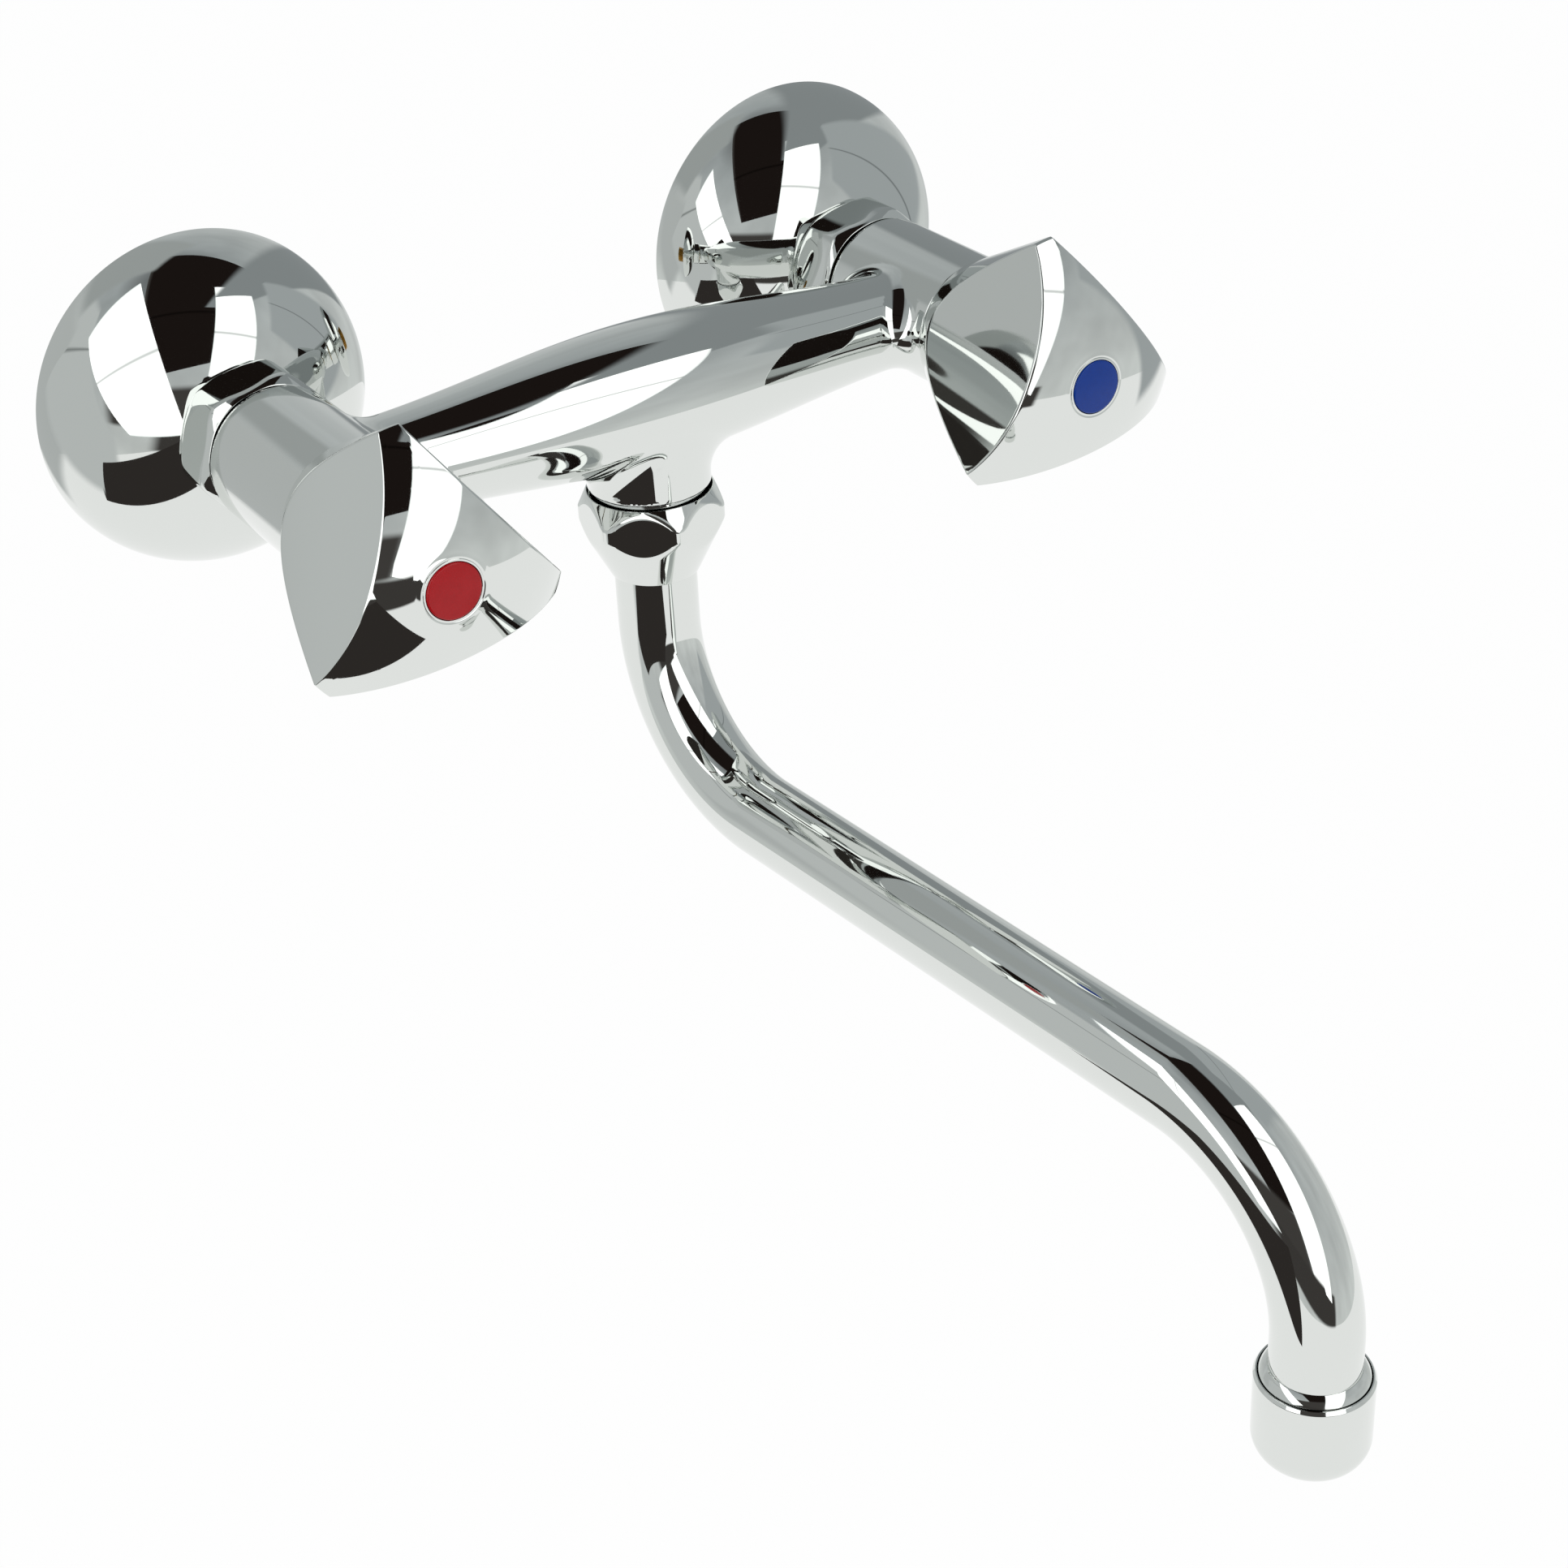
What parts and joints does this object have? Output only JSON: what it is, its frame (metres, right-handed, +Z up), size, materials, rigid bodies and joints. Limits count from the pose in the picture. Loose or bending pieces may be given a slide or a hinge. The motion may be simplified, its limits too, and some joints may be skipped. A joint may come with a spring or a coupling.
{
  "type": "two handle kitchen faucet",
  "caption": "Wall mounted kitchen mixer tap with two turning knob handles and a swivel S-shaped spout with aerator.",
  "frame": {"origin": "midpoint between the two inlets on the wall's face, at the height of the valve axes", "axes": "+X to the right as one faces the wall (cold side), +Y into the wall, +Z up"},
  "size_m": [0.2228, 0.2826, 0.1967],
  "materials": {
    "chrome": "polished, mirror bright",
    "brass": "machined",
    "rubber": "matt",
    "white_plastic": "moulded, matt",
    "fibre": "pressed fibre, matt",
    "steel": "plain, stainless",
    "red_plastic": "glossy",
    "blue_plastic": "glossy"
  },
  "bodies": {
    "mixer": {"mixer_body": "chrome", "outlet_nut": "chrome", "spout_slide_ring": "white_plastic", "left_rosette": "chrome", "left_eccentric": "brass", "left_inlet_nut": "chrome", "left_inlet_gasket": "rubber", "left_tailpiece": "brass", "left_headwork": "brass", "left_headwork_gasket": "fibre", "right_rosette": "chrome", "right_eccentric": "brass", "right_inlet_nut": "chrome", "right_inlet_gasket": "rubber", "right_tailpiece": "brass", "right_headwork": "brass", "right_headwork_gasket": "fibre"},
    "left_knob": {"left_handle": "chrome", "left_handle_screw": "steel", "left_index_disc": "red_plastic", "left_spindle": "brass", "left_spindle_o_ring": "rubber", "left_spindle_clip": "steel"},
    "left_valve": {"left_plunger": "brass", "left_valve_washer": "rubber", "left_washer_screw": "brass"},
    "right_knob": {"right_handle": "chrome", "right_handle_screw": "steel", "right_index_disc": "blue_plastic", "right_spindle": "brass", "right_spindle_o_ring": "rubber", "right_spindle_clip": "steel"},
    "right_valve": {"right_plunger": "brass", "right_valve_washer": "rubber", "right_washer_screw": "brass"},
    "spout": {"spout_tube": "chrome", "spout_collar": "brass", "spout_o_rings": "rubber", "spout_end_sleeve": "chrome", "aerator_housing": "chrome", "aerator_insert": "white_plastic", "aerator_gasket": "rubber"}
  },
  "joints": [
    {"name": "left_handle_turn", "type": "hinge", "parent": "mixer", "child": "left_knob", "pos_m": [-0.075, -0.09, 0], "axis": [0, -1, 0], "range_deg": [0, 720]},
    {"name": "left_plunger_slide", "type": "slide", "parent": "mixer", "child": "left_valve", "axis": [0, -1, 0], "range_m": [0, 0.004]},
    {"name": "right_handle_turn", "type": "hinge", "parent": "mixer", "child": "right_knob", "pos_m": [0.075, -0.09, 0], "axis": [0, -1, 0], "range_deg": [0, 720]},
    {"name": "right_plunger_slide", "type": "slide", "parent": "mixer", "child": "right_valve", "axis": [0, -1, 0], "range_m": [0, 0.004]},
    {"name": "spout_swivel", "type": "hinge", "parent": "mixer", "child": "spout", "pos_m": [0, -0.05856, -0.02], "axis": [0, 0, 1], "range_deg": [-105, 94]}
  ],
  "couplings": [
    {"joint": "left_plunger_slide", "follows": "left_handle_turn", "m_per_rad": 0.00031831},
    {"joint": "right_plunger_slide", "follows": "right_handle_turn", "m_per_rad": 0.00031831}
  ]
}
